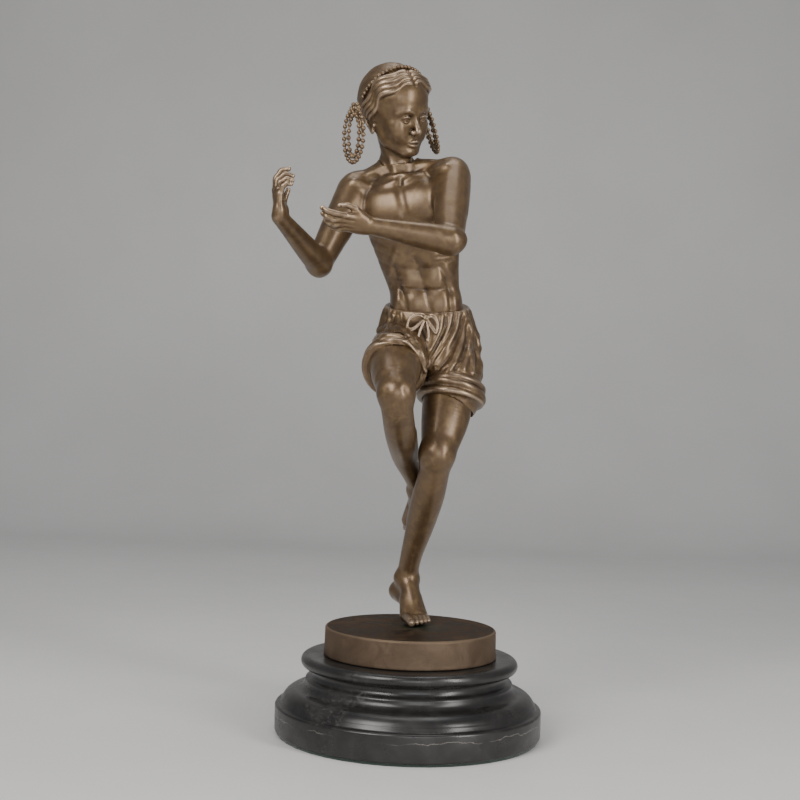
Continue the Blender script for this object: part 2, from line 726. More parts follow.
def arm_skin(clay, name):
    """The forearm and the hand. The upper arm is part of the torso's skin."""
    spec = HAND[name]
    elbow, wrist = ELBOW[name], WRIST[name]
    across, palmar = unit(spec["across"]), unit(spec["palmar"])
    along = unit(wrist - elbow)

    def station(share, towards_thumb, towards_palm, radius):
        return [*(mix(elbow, wrist, share) + towards_thumb * across + towards_palm * palmar), radius]

    bones = ((0, 0, 0, 7.4), (0.22, 0, 0, 7.4), (0.55, 0, 0, 6.2), (0.85, 0, 0, 4.8), (1, 0, 0, 4.3))
    thumb_side = ((-0.1, 2.6, 0, 5), (0.2, 3.2, 0.4, 5.4), (0.5, 2.6, 0.4, 4), (0.9, 1.6, 0, 2.9))
    little_side = ((0, -2.4, 1.6, 5), (0.24, -2.6, 1.8, 5), (0.6, -2, 0.8, 3.9), (1, -1.8, 0, 3))
    for muscle in (bones, thumb_side, little_side):
        clay.add(Rod([station(*place) for place in muscle]), 4)
    clay.add(Ball(wrist - across * 3 - palmar * 1.8 - along * 1.6, 1.9), 1.8)  # wrist bone
    clay.add(Ball(wrist + across * 1.4, (3.8, 3.8, 3.8)), 3)
    hand(clay, name)


# ---- Legs and feet -----------------------------------------------------------------------------

LEG = {
    "left": {
        "thigh": [
            [22, 24, 240, 14.4],
            [19.8, 13, 220, 15.9],
            [17.6, 2, 202, 14.8],
            [14.8, -7.4, 187, 11.8],
        ],
        "knee": vec(13, -12, 179),
        "shin": [
            [13, -11.4, 179, 10.8],
            [11.6, -7.2, 168, 9.8],
            [8.8, 3, 152, 10.2],
            [4.4, 15.4, 132, 9],
            [-0.4, 26.4, 112, 7.2],
            [-3, 33.6, 96, 6.7],
        ],
        "calf": [
            [12.4, 0, 170, 6],
            [9.4, 8.6, 154, 7.6],
            [5.4, 19, 136, 7],
            [0.6, 28.6, 116, 4.6],
            [-3.4, 37.6, 98, 2.8],
        ],
        "crest": [
            [12.4, -17.4, 170],
            [10.4, -8.6, 154],
            [6, 4.6, 134],
            [0.8, 17.6, 114],
            [-1.6, 27, 97],
        ],
        "side": vec(0.95, 0.3, 0),
        "inner": -1,
        "ankle": vec(-3, 34, 95),
        "heel": vec(-8, 43.4, 85.4),
        "ball": vec(3, 15, 73.4),
        "toe": vec(8.5, -4, 71.2),
    },
    "right": {
        "thigh": [
            [-12, 12, 246, 14.2],
            [-14.4, -8, 237, 15.9],
            [-15.2, -24, 229.6, 14.8],
            [-14.8, -37, 223.4, 12.4],
        ],
        "knee": vec(-14, -45, 217),
        "shin": [
            [-13.8, -44.4, 216, 10.8],
            [-12.8, -41, 206, 9.8],
            [-10.4, -25, 191.4, 9.6],
            [-7.4, -1, 177, 7.8],
            [-1.4, 14.8, 164.6, 6.6],
            [3, 24, 154.6, 6],
        ],
        "calf": [
            [-12.6, -33, 205, 6],
            [-10, -18, 193, 7],
            [-7, 0, 180, 6],
            [-1, 16, 167, 4.2],
            [4, 27, 158, 2.8],
        ],
        "crest": [
            [-13, -50, 205],
            [-10.6, -34, 186],
            [-7.4, -9, 169],
            [-2, 8, 158.6],
            [1.6, 18.6, 149.6],
        ],
        "side": vec(0.98, 0.12, 0),
        "inner": 1,
        "ankle": vec(3.4, 25, 154),
        "heel": vec(4.6, 35, 155.2),
        "ball": vec(1.2, 47, 131),
        "toe": vec(0.4, 57, 119.5),
    },
}


def knee_forms(clay, spec):
    """The kneecap, the ends of the bones beside it and the muscle over it."""
    knee, side = spec["knee"], spec["side"]
    thigh = unit(knee - vec(*spec["thigh"][2][:3]))
    shin = unit(vec(*spec["shin"][2][:3]) - knee)
    front = unit(thigh - shin)
    up = unit(np.cross(side, front))
    axes = np.column_stack([np.cross(front, up), front, up])
    clay.add(Ball(knee + front * 4.8 - thigh * 1.5, (7.8, 6, 8), axes), 7)
    for s in (1, -1):
        clay.add(Ball(knee + side * 5.6 * s - front * 0.4, (5, 6.6, 7), axes), 5)
        dimple = knee + front * 10 + side * 6.4 * s + shin * 2
        clay.emboss([dimple - shin * 2, dimple + shin * 2], -0.5, 2.6)
    clay.add(Ball(knee + shin * 9 + front * 4.6, (3.4, 3.4, 5), axes), 4)  # top of the shin bone


TOE_ROOTS = (7.2, 3.2, -0.2, -3.4, -6.2)  # how far each toe is towards the inner side of the foot
TOE_RADII = (3.1, 2.35, 2.25, 2.1, 2.0)


def foot(clay, spec, sole):
    """Heel, arch, instep and five toes. sole is the direction the sole faces."""
    ankle, heel, ball, toe, side = (spec[key] for key in ("ankle", "heel", "ball", "toe", "side"))
    inner = spec["inner"] * unit(side)
    forward = unit(toe - ball)
    length = np.linalg.norm(toe - ball)
    clay.add(Rod([[*ankle, 6], [*mix(ankle, heel, 0.6), 5.6], [*heel, 5]]), 3)
    clay.add(Ball(heel + (heel - ankle) * 0.06, (5, 5.2, 5)), 3)
    for s, low in ((1, 0), (-1, 1.4)):
        clay.add(Ball(ankle + inner * 4.6 * s + sole * low, 3), 5)  # ankle bones
    instep = [
        [*ankle, 6.6],
        [*mix(ankle, ball, 0.34) - sole, 6.4],
        [*mix(ankle, ball, 0.7) - sole * 0.6, 5.6],
        [*ball - sole * 0.2, 4.6],
    ]
    clay.add(Rod(instep), 5)
    for s, width in ((1, 4.4), (-1, 4.8)):
        edge = [[*heel + sole * 0.4, 4.4], [*mix(heel, ball, 0.5) + inner * s * width * 0.6, 4.4]]
        clay.add(Rod([*edge, [*ball + inner * s * width + sole * 0.7, 3.6]]), 5)
    for k, (root, radius) in enumerate(zip(TOE_ROOTS, TOE_RADII)):
        knuckle = ball + inner * root * 0.94 - forward * 0.5 * k + sole * (0.5 + 0.1 * k)
        reach = length * (0.84 - 0.06 * k)
        spread = unit(forward + inner * (0.04 - 0.02 * k))
        bend = knuckle + spread * reach * 0.6 - sole * (0.1 if k == 0 else 0.8)
        tip = knuckle + spread * reach + sole * 0.3
        clay.add(Rod([[*mix(ankle, ball, 0.55) + inner * root * 0.6, 3], [*knuckle, radius + 0.6]]), 2.6)
        digit(clay, [knuckle, bend, tip], radius, sole)
    clay.cut(Ball(mix(heel, ball, 0.5) + inner * 5.4 + sole * 5.4, (4.2, 8, 4)), 4)  # arch


def leg_skin(clay, name):
    spec = LEG[name]
    clay.add(Rod(spec["thigh"]), 4)
    side = spec["side"]
    thigh = np.array(spec["thigh"])
    front = unit(np.cross(unit(thigh[2][:3] - thigh[1][:3]), side))
    front = front if front[1] < 0 else -front
    for s in (1, -1):
        belly = [[*(row[:3] + side * s * 5.4 + front * 3.4), row[3] - 5.6] for row in thigh]
        clay.add(Rod(belly), 4)
    clay.add(Rod(spec["shin"]), 4)
    clay.add(Rod(spec["calf"]), 4)
    calf = np.array(spec["calf"][1:3])
    for s in (1, -1):
        clay.add(Rod(calf + vec(*side * s * 3.6, -1.2)), 3.4)
    knee_forms(clay, spec)
    clay.emboss(spec["crest"], 0.7, 2.4)
    sole = unit(np.cross(side, spec["toe"] - spec["heel"]))
    sole = sole if sole @ (spec["ball"] - spec["ankle"]) > 0 else -sole
    foot(clay, spec, sole)


# ---- Shorts ------------------------------------------------------------------------------------

CUFF = {
    "left": {
        "centre": vec(21.6, 11.6, 218),
        "along": vec(-0.12, -0.34, -0.94),
        "radii": (19.6, 19),
        "mouth": 15.8,
    },
    "right": {
        "centre": vec(-15.6, -11.4, 234.4),
        "along": vec(-0.12, -0.93, -0.36),
        "radii": (17.6, 17.4),
        "mouth": 14.4,
    },
}
# The cloth rolled round each cuff: how far along it, how much wider, how thick, and the side and the
# distance that the ring slides.
ROLLS = (
    (-6.4, -0.4, 2.0, 0.7, 1.6),
    (-3.4, 0.2, 2.3, 3.4, 1.8),
    (0.4, 0.7, 2.5, 5.4, 1.6),
    (3.6, 0.3, 2.6, 2.2, 1.0),
    (-0.6, 1.3, 1.7, 1.5, -4.2),
)
# The creases between them: how far along, how much wider, and where round the leg each one starts.
CREASES = ((-4.9, 1.6, 2.0), (-1.4, 2.2, 4.4), (2.1, 2.4, 0.4))


def ring(centre, along, side, radii, count, turn=0.0, lean=0.0):
    """Points of an ellipse across a direction. lean slides the far side along the direction."""
    wide = unit(side - along * (side @ along))
    deep = np.cross(along, wide)
    points = []
    for angle in np.linspace(0, 1, count) * 2 * math.pi + turn:
        slide = lean * math.cos(angle - turn)
        points.append(
            centre + wide * radii[0] * math.cos(angle) + deep * radii[1] * math.sin(angle) + along * slide
        )
    return np.array(points)


def shorts_skin(clay):
    """The cloth before its folds: the seat, the waist and a wide leg round each thigh."""
    waist = [
        [232, 5, 27, 17, 12, 4, 0],
        [240, 5, 28, 30, 18.6, 4, 0],
        [250, 5, 28.4, 34, 22.4, 4, 0],
        [262, 4.8, 28.2, 31.6, 21.2, 4, 0],
        [274, 4.5, 28, 28.2, 19.2, 4, 0],
        [284, 4.3, 28, 27, 18.2, 4, 0],
    ]
    clay.add(Column(waist))
    left = [[18, 28, 250, 19], [20.6, 20.4, 236, 20], [21.6, 13.4, 223.6, 19.4], [21.6, 10.6, 215.6, 18.6]]
    right = [[-8, 27, 249, 18.4], [-12, 10, 243, 18.6], [-15, -7, 236, 17.8], [-15.6, -13.4, 233.6, 17]]
    for path in (left, right):
        clay.add(Rod(path), 5)


FOLD_DEPTH = 1.35  # scales the height of every fold

# Each fold: its height, its width and the X and Z that it runs through, or the Y and Z at the sides.
FRONT_FOLDS = [
    (1.6, 1.9, [(25, 270), (22.6, 259), (14.4, 245.6), (7, 235)]),
    (1.2, 1.5, [(20, 270), (18, 260), (12.2, 247.4), (5.8, 237.4)]),
    (1.0, 1.3, [(13.6, 268), (12.8, 260), (8.6, 249), (5, 240)]),
    (1.6, 1.8, [(29, 267), (27.4, 254), (24, 243), (18.4, 232.6)]),
    (1.4, 1.7, [(31, 272), (33.2, 257), (31.8, 246), (28.6, 234.4)]),
    (1.2, 1.5, [(31.8, 247), (34.4, 239), (35, 232)]),
    (1.4, 1.8, [(35, 271), (38, 258), (40, 245), (40, 233)]),
    (-1.4, 1.3, [(22.4, 270), (20.4, 259.6), (13.4, 246.4), (6.4, 236)]),
    (-1.5, 1.4, [(27, 268), (25, 257), (19.4, 243.6), (12.6, 233.6)]),
    (-1.3, 1.3, [(30, 262), (29.6, 250), (26.4, 240), (23.4, 234)]),
    (-1.3, 1.4, [(36, 262), (36.4, 250), (37.6, 240), (37.4, 233)]),
    (-1.2, 1.1, [(16.6, 267), (15.6, 259), (10.4, 248), (5.6, 238.6)]),
    (1.3, 1.6, [(-28, 257.6), (-21, 260.6), (-14, 259.8), (-7.4, 253.6), (-0.8, 244.6), (4.2, 235.6)]),
    (1.5, 1.7, [(-31, 251.6), (-23.4, 253.6), (-14, 253), (-7.4, 249), (-1.6, 242), (3.6, 232)]),
    (-1.3, 1.3, [(-29.4, 254.6), (-22, 257), (-14, 256.4), (-7.4, 251.2), (-1.2, 243.4), (4, 234)]),
    (-1.2, 1.2, [(-31, 248), (-24, 250), (-14.4, 249.8), (-7, 245.4), (-1.4, 238.6), (3, 229)]),
    (1.1, 1.4, [(-2, 259), (2, 252.4), (4, 245), (4.8, 237.4)]),
    (1.1, 1.3, [(-6.6, 255.4), (-2.6, 250.4), (1.4, 243), (3.4, 235.6)]),
    (-1.2, 1.2, [(0.6, 262), (3.4, 254), (4.8, 246), (5.2, 232), (4.4, 222)]),
    (1.0, 1.3, [(-19.8, 271), (-20.6, 265), (-23, 260.6)]),
    (0.9, 1.2, [(-12.4, 269), (-11.4, 263), (-8, 257.6)]),
    (-0.9, 1.1, [(-16.4, 269), (-16.4, 264), (-17, 261)]),
    (0.9, 1.2, [(-25.4, 272), (-27.4, 264), (-29.6, 259)]),
    (1.0, 1.1, [(10, 234.6), (14, 233.6), (18, 236)]),
    (0.9, 1.1, [(20, 234), (24, 238), (25.6, 234.4)]),
]
BACK_FOLDS = [
    (1.4, 1.8, [(30, 270), (32, 256), (30, 240), (24, 228)]),
    (-1.3, 1.5, [(26, 270), (26, 256), (22, 242), (16, 230)]),
    (1.4, 1.8, [(21, 270), (20, 256), (14, 242), (7, 232)]),
    (-1.3, 1.5, [(15, 270), (13.6, 258), (9.6, 246), (6, 236)]),
    (1.3, 1.8, [(9, 270), (8, 258), (6.4, 246), (5, 236)]),
    (-1.5, 1.6, [(5, 266), (5, 254), (5, 242), (5, 228)]),
    (1.3, 1.8, [(1, 270), (1.4, 258), (2.6, 246), (4.4, 236)]),
    (-1.3, 1.5, [(-5, 270), (-5.4, 258), (-3, 248), (2, 240)]),
    (1.4, 1.8, [(-11, 270), (-13, 260), (-11, 250), (-3, 241)]),
    (-1.3, 1.5, [(-17, 270), (-20, 261), (-19, 253), (-10, 245)]),
    (1.3, 1.8, [(-22, 270), (-26, 262), (-26, 254), (-19, 246)]),
]
SIDE_FOLDS = {
    1: [
        (1.4, 1.8, [(18, 272), (17, 258), (16, 244), (15, 230)]),
        (-1.3, 1.5, [(23, 272), (23, 258), (21.4, 244), (19, 230)]),
        (1.4, 1.8, [(29, 272), (29.6, 258), (27, 244), (23, 230)]),
        (-1.3, 1.5, [(35, 270), (35, 258), (32, 244), (27, 231)]),
    ],
    -1: [
        (1.4, 1.8, [(14, 268), (8, 260), (0, 254), (-6, 248)]),
        (-1.3, 1.5, [(20, 270), (14, 260), (5, 252), (-3, 245)]),
        (1.4, 1.8, [(26, 271), (21, 259), (11, 250), (0, 242)]),
        (-1.3, 1.5, [(32, 270), (28, 258), (18, 248), (6, 239)]),
        (1.4, 1.8, [(38, 268), (35, 257), (26, 247), (12, 237)]),
    ],
}


def shorts_folds(clay):
    for height, width, marks in FRONT_FOLDS:
        drawn(clay, [(x, -28, z) for x, z in marks], FOLD_DEPTH * height, width, FRONT)
    for height, width, marks in BACK_FOLDS:
        drawn(clay, [(x, 56, z) for x, z in marks], FOLD_DEPTH * height, width, BACK)
    for side, folds in SIDE_FOLDS.items():
        for height, width, marks in folds:
            line = [(side * 50, y, z) for y, z in marks]
            drawn(clay, line, FOLD_DEPTH * height, width, vec(-side, 0, 0))


def cuffs(clay):
    """Rolled cuffs: rings of cloth laid over one another, with creases between them."""
    for name, spec in CUFF.items():
        along, side = unit(spec["along"]), LEG[name]["side"]
        wide, deep = spec["radii"]

        def round_leg(slide, grow, turn, lean):
            middle = spec["centre"] + along * slide
            return ring(middle, along, side, (wide + grow, deep + grow), 48, turn, lean)

        for slide, grow, thick, turn, lean in ROLLS:
            clay.add(Rod(round_leg(slide, grow, turn, lean), thick, steps=2), 1.6)
        for slide, grow, turn in CREASES:
            clay.emboss(round_leg(slide, grow, turn, 1.7), -0.9, 0.9, steps=2)
            clay.emboss(round_leg(slide + 1.6, grow, turn + 1.2, 2.4), 0.5, 0.9, steps=2)


GATHERS = 46  # small creases round the waistband


def waistband_tunnel(clay):
    """The drawstring's tunnel shows as a shallow step under the waistband's edge."""
    middle = WAIST_MIDDLE - WAIST_DIP * 4.6
    edge = ring(middle, WAIST_DIP, vec(1, 0.07, 0), (29.4, 20.4), 40)
    clay.emboss(edge, -0.5, 1)
    for k, angle in enumerate(np.linspace(0, 2 * math.pi, GATHERS, endpoint=False)):
        turn = angle + 0.04 * math.sin(5.0 * k)
        wide, deep = 28.6 * math.cos(turn), 19.6 * math.sin(turn)
        top = WAIST_MIDDLE - WAIST_DIP * 0.8 + vec(wide, deep, 0.3 * deep)
        gather = [top, top - WAIST_DIP * (4 + 1.5 * math.sin(3.7 * k)) + vec(0.02 * wide, 0.02 * deep, 0)]
        clay.emboss(gather, 0.35, 0.9)


# ---- Head --------------------------------------------------------------------------------------

FACE_AXIS = unit([0, -0.92, -0.38])  # the locks of hair run in arcs round this axis
FACE_UP = unit([0, -0.38, 0.92])
LOCKS = 4  # on each side of the parting
LOCK_START = 3  # degrees round the face's axis from the parting to where the locks begin,
LOCK_REACH = 115  # and from there to where they end over the ear
LOCK_WAVES = 2.1  # along a lock
LOCK_SWING = 4.2  # degrees that a wave swings to either side
LOCK_STRANDS = ((-1.5, 0.9), (-0.5, 1.15), (0.5, 1.15), (1.5, 0.9))  # place across the lock, and radius
BAND_CLEAR = 9  # degrees from the last lock to the middle of the headband
CAP_HAIR = 0.9  # how much smaller the combed hair is than the room the CAD gives it
BAND_BACK = 0.2  # the headband's plane: how far behind the cap's centre it is,
BAND_LEAN = 0.45  # how far forwards it leans for each unit of height,
BAND_SKEW = 0.18  # and how far forwards it comes for each unit towards the left


def on_cap(polar, azimuth, lift):
    """A point over the skull: degrees away from the face's axis, degrees round it, and a height."""
    theta, phi = math.radians(polar), math.radians(azimuth)
    around = FACE_UP * math.cos(phi) + vec(1, 0, 0) * math.sin(phi)
    way = FACE_AXIS * math.cos(theta) + around * math.sin(theta)
    reach = 1 / np.linalg.norm(way / (CAP_RADII - CAP_HAIR))
    return CAP_CENTRE + way * (reach + lift)


def band_polar(azimuth, side):
    """How many degrees from the face's axis the headband runs. The side is 1 on the left."""
    phi = math.radians(azimuth)
    around = FACE_UP * math.cos(phi) + vec(side, 0, 0) * math.sin(phi)
    across = vec(BAND_SKEW, 1, BAND_LEAN)
    return math.degrees(math.atan2(-FACE_AXIS @ across, around @ across))


CIRCLE = np.linspace(0, 2 * math.pi, 13)


def skull(clay):
    """The masses of the head, blended into the neck."""
    for centre, radii, blend in (
        ((0, 3.6, 1.6), (19.6, 23.4, 22), 3),  # braincase
        ((0, -8.6, 5), (15.4, 12, 12.4), 6),  # forehead
        ((0, -8, -9), (14.8, 12, 15), 6),  # middle of the face
        ((0, -5, -21.6), (11, 10, 5.4), 5),  # under the jaw
        ((0, -14.6, -20.6), (8, 6.4, 6.6), 4),  # round the mouth
        ((0, -17, -27), (4.8, 4.2, 3.8), 4),  # chin
    ):
        clay.add(head_ball(centre, radii), blend)
    for s in (1, -1):
        clay.add(head_ball((s * 9.6, -13.2, -11.4), (5.4, 4.8, 4.6)), 5)  # cheekbone
        clay.add(head_ball((s * 8, -13, -17), (5.6, 5.8, 6)), 5)  # cheek
        jaw = head_path((s * 13.4, -1, -14, 3.6), (s * 11.4, -8, -22.4, 3.4), (s * 4.6, -15.6, -27.4, 3.2))
        clay.add(Rod(jaw), 4)
        brow = head_path((s * 3, -19.2, -2, 1.6), (s * 7, -18.8, -0.8, 1.7), (s * 11.4, -15.8, -2, 1.8))
        clay.add(Rod(brow), 3.4)
    under_jaw = [(12.6, -8, -30, 3), (8.6, -15.6, -35, 4), (0, -20.6, -37.4, 5)]
    clay.cut(Rod(head_path(*mirrored(under_jaw))), 4)


def eyes(clay):
    for s in (1, -1):
        clay.cut(head_ball((s * 7, -22.2, -5.8), (4.2, 2.8, 2.6)), 3)
        clay.add(head_ball((s * 7, -16.9, -6), (3.3, 3.3, 3)), 0.5)
        corners = ((s * 3.9, -18.6, -6.5), (s * 10.4, -17.2, -6.3))
        upper = [(s * 5.3, -20, -4.9), (s * 7.2, -20.3, -4.3), (s * 9.1, -19.2, -4.9)]
        lower = [(s * 5.6, -19.5, -7.6), (s * 7.8, -19.5, -7.8)]
        for lid, radius in ((upper, 0.62), (lower, 0.46)):
            path = head_path(corners[0], *lid, corners[1])
            clay.add(Rod(path, radius), 0.7)
        clay.add(head_ball((s * 7.1, -16.8, -3.9), (3.7, 3.1, 2)), 1.2)
        crease = head_path((s * 4.4, -20, -4.1), (s * 7.2, -20.6, -3), (s * 10.2, -18.2, -4.3))
        clay.emboss(crease, -0.25, 0.6)
        gaze = on_head(s * 7, -20.1, -6)
        iris = [gaze + HEAD_TURN @ vec(1.2 * math.cos(a), 0.2, 1.2 * math.sin(a)) for a in CIRCLE]
        clay.emboss(iris, -0.14, 0.34)
        clay.emboss([gaze, gaze + HEAD_TURN @ vec(0, 0, 0.1)], -0.35, 0.4)
        hairs = head_path((s * 3.2, -21.2, -1.4), (s * 7, -20.8, 0.1), (s * 11.4, -17.8, -1.1))
        clay.emboss(hairs, 0.2, 0.9)


def mirrored(half):
    """A row of stations from the left, carried on to the right. The last one is in the middle."""
    return [*half, *[(-x, *rest) for x, *rest in reversed(half[:-1])]]


def nose_and_mouth(clay):
    clay.add(Rod(head_path((0, -18.4, -3, 1.7), (0, -20.8, -8, 1.7), (0, -23.6, -12.8, 1.9))), 2.4)
    clay.add(head_ball((0, -23.8, -13.6), (2.1, 2, 1.8)), 1.2)
    clay.add(Rod(head_path((0, -22.8, -15, 0.8), (0, -20.6, -16, 0.9)), steps=1), 1)
    clay.emboss(head_path((0, -21.4, -16.8), (0, -21.6, -18.6)), -0.25, 0.8)
    for s in (1, -1):
        clay.add(head_ball((s * 2.4, -21.3, -14.3), (1.5, 2.1, 1.5)), 1.2)
        clay.cut(head_ball((s * 1.3, -22, -15.9), (0.65, 1, 0.6)), 0.4)
        wing = head_path((s * 2.9, -20.4, -12.4), (s * 4, -19.8, -14), (s * 3.6, -19.8, -15.6))
        clay.emboss(wing, -0.25, 0.6)
    upper = [
        (4.8, -18.9, -21.2, 0.6),
        (2.8, -20.4, -20.7, 0.95),
        (1, -21.2, -20.2, 1.05),
        (0, -21, -20.5, 1),
    ]
    lower = [(4.2, -19.1, -21.9, 0.6), (2.2, -20.4, -22.6, 1.15), (0, -20.8, -22.8, 1.25)]
    for half in (upper, lower):
        clay.add(Rod(head_path(*mirrored(half))), 1)
    clay.emboss(head_path(*mirrored([(5, -19, -21.3), (2.8, -20.8, -21.3), (0, -21.8, -21.5)])), -0.5, 0.55)
    clay.emboss(head_path(*mirrored([(3.2, -19.4, -24.8), (0, -20.4, -25)])), -0.4, 1.5)


def ears(clay):
    for s in (1, -1):
        clay.add(head_ball((s * 17.2, 2.4, -11), (1.7, 3.2, 5.4)), 1.4)
        rim = head_path(
            (s * 18, -1, -9.4, 0.7),
            (s * 19.2, 0.4, -6, 0.8),
            (s * 20, 3.8, -5.6, 0.85),
            (s * 20, 5.8, -9, 0.85),
            (s * 19, 4.4, -13, 0.75),
            (s * 18, 1.4, -16.2, 0.8),
        )
        clay.add(Rod(rim), 0.5)
        clay.add(head_ball((s * 17.8, 0.4, -16.4), (1.2, 1.7, 2)), 0.9)
        clay.cut(head_ball((s * 19.4, 1.4, -11.4), (1.4, 1.9, 3)), 0.8)
        clay.add(head_ball((s * 18, -1.2, -12.4), (1.1, 0.9, 1.3)), 0.6)


def locks(clay):
    """Thick waved locks, from the middle parting round the face and back over the ears."""
    along = np.linspace(0, 1, 60)
    azimuths = LOCK_START + along * LOCK_REACH
    hairline = 57 + along * 17
    swell = np.sin(math.pi * along) ** 0.5
    for s in (1, -1):
        band = np.array([band_polar(azimuth, s) for azimuth in azimuths])
        spacing = (band - BAND_CLEAR - hairline) / (LOCKS - 1)
        for k in range(LOCKS):
            turns = 2 * math.pi * (LOCK_WAVES * along + 0.07 * k + 0.1)
            polars = hairline + k * spacing + LOCK_SWING * np.sin(turns) * swell
            lift = 0.5 + swell * (1.2 + 0.6 * s + 0.8 * np.cos(turns))
            for strand, radius in LOCK_STRANDS:
                rows = []
                for row, azimuth in enumerate(azimuths):
                    polar = polars[row] + 0.28 * strand * spacing[row]
                    place = on_cap(polar, azimuth, lift[row] - 0.3 * strand**2)
                    rows.append([*on_head(*(place * vec(s, 1, 1))), radius * (0.4 + 0.6 * swell[row])])
                clay.add(Rod(rows, steps=1), 0.3)
    parting = [on_head(*on_cap(polar, 0, 1)) for polar in (54, 62, 70, 78, 84)]
    clay.emboss(parting, -1.3, 0.9)


COMB_AXIS = unit([0, 0.72, -0.69])  # behind the band the hair is combed down to the nape
COMB_TEETH = 84  # comb marks round the head
COMB_TRESSES = 23  # broader waves over them
COMB_DEPTH = 0.15


def combed_hair(clay):
    clay.add(head_ball(CAP_CENTRE, CAP_RADII - CAP_HAIR), 1)
    x, y, z = clay.axes
    offset = np.stack(np.meshgrid(x - HEAD[0], y - HEAD[1], z - HEAD[2], indexing="ij"))
    local = np.einsum("ji,jxyz->ixyz", HEAD_TURN.astype(np.float32), offset)
    local -= CAP_CENTRE[:, None, None, None].astype(np.float32)
    up = np.cross(COMB_AXIS, [1, 0, 0])
    azimuth = np.arctan2(local[0], local[1] * up[1] + local[2] * up[2])
    behind = local[1] - BAND_BACK + local[2] * BAND_LEAN + local[0] * BAND_SKEW
    hair = np.clip(behind / 2, 0, 1) * np.clip((local[2] + 15) / 4, 0, 1)
    waves = np.cos(COMB_TEETH * azimuth) + 0.6 * np.cos(COMB_TRESSES * azimuth + 0.1 * local[2])
    clay.values -= (COMB_DEPTH * hair * waves).astype(np.float32)


def head_skin(clay):
    skull(clay)
    clay.soften()
    ears(clay)
    eyes(clay)
    nose_and_mouth(clay)
    combed_hair(clay)
    locks(clay)


# ---- Castings ----------------------------------------------------------------------------------


class Peg:
    """Everything within a radius of a line, from its start onwards."""

    def __init__(self, start, along, radius, reach=70):
        self.start, self.along = np.asarray(start, float), unit(along)
        self.radius, self.reach = radius, reach

    def parts(self):
        ends = np.array([self.start, self.start + self.along * self.reach])
        yield ends.min(0) - self.radius, ends.max(0) + self.radius, self.distance

    def distance(self, x, y, z):
        dx, dy, dz = x - self.start[0], y - self.start[1], z - self.start[2]
        ahead = dx * self.along[0] + dy * self.along[1] + dz * self.along[2]
        away = np.sqrt(np.maximum(dx * dx + dy * dy + dz * dz - ahead * ahead, 0))
        return np.maximum(away - self.radius, -ahead)


def room(node, step, margin=3.0):
    """An empty clay round a CAD node."""
    low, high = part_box(node)
    return Clay([v / MM - margin for v in low], [v / MM + margin for v in high], step)


def within(clay, shape):
    """Keeps what is inside a shape."""
    x, y, z = clay.axes
    outside = shape.distance(x[:, None, None], y[None, :, None], z[None, None, :])
    clay.values = np.maximum(clay.values, outside + SEAM / 2)


def neck_peg(back):
    """The room of the neck from a distance below its seam, or above it if the distance is negative."""
    return Peg(NECK_SEAM - NECK_ALONG * back, NECK_ALONG, 12.8)


def arm_peg(name, back):
    """The room of the arm from a distance before its seam, or beyond it if the distance is negative."""
    top, elbow = SHOULDER[name], ELBOW[name]
    return Peg(mix(top, elbow, ARM_SEAM_SHARE) - unit(elbow - top) * back, elbow - top, 12.8)


def cast_torso():
    clay = room("torso", GRID["torso"])
    torso_skin(clay)

    def trim(clay):
        for peg in (neck_peg(-LAP), arm_peg("left", -LAP), arm_peg("right", -LAP)):
            clay.cut(peg)
        clay.keep([0, 0, WAIST_BOTTOM], [0, 0, -1])

    cast("Torso", clay, "torso", trim=trim)


def cast_head():
    """The head and the neck. The clay starts as the torso's own skin, so one runs on from the other."""
    clay = room("head", GRID["head"])
    torso_skin(clay)
    torso = clay.values
    within(clay, neck_peg(ROOT))
    head_skin(clay)
    seam = neck_peg(LAP).start
    cast("Head", clay, "head", around=torso, trim=lambda clay: clay.keep(seam, -NECK_ALONG))


def cast_arm(name):
    """An arm from its seam to the fingertips, started from the torso's own skin as the head is."""
    clay = room(f"{name}_arm", GRID["arm"])
    torso_skin(clay)
    torso = clay.values
    within(clay, arm_peg(name, ROOT))
    arm_skin(clay, name)
    seam = arm_peg(name, LAP)

    def trim(clay):
        clay.keep(seam.start, -seam.along)

    cast(f"{name.title()}Arm", clay, f"{name}_arm", around=torso, trim=trim)


def cast_leg(name, node, trim=None):
    clay = room(node, GRID["leg"])
    leg_skin(clay, name)
    clay.soften()
    cast(node.title().replace("_", ""), clay, node, trim=trim)


def flat_sole(clay):
    """The standing foot is flat under its sole, where it meets the plinth."""
    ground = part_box("bronze_plinth")[1].z / MM
    clay.keep([0, 0, ground], [0, 0, -1], gap=0.2)


def cast_shorts():
    clay = room("shorts", GRID["shorts"])
    shorts_skin(clay)
    cuffs(clay)
    clay.soften()
    shorts_folds(clay)
    waistband_tunnel(clay)
    clay.keep(WAIST_MIDDLE, WAIST_DIP)
    clay.soften()

    def trim(clay):
        for name, spec in CUFF.items():
            along = unit(spec["along"])
            mouth = [spec["centre"] + along * 9, spec["centre"] + along * 2]
            clay.cut(Rod(mouth, spec["mouth"]), 1.2)
            clay.cut(Rod([[*row[:3], row[3] + 0.5] for row in LEG[name]["thigh"]]))
        clay.cut(waist_plug())

    cast("Shorts", clay, "shorts", trim=trim)


def waist_plug():
    """The room that the torso's plug takes in the waistband."""
    return Column([[*row[:3], row[3] + SEAM, row[4] + SEAM, *row[5:]] for row in TRUNK])


KNOT = vec(3.6, 2.2, 266.8)


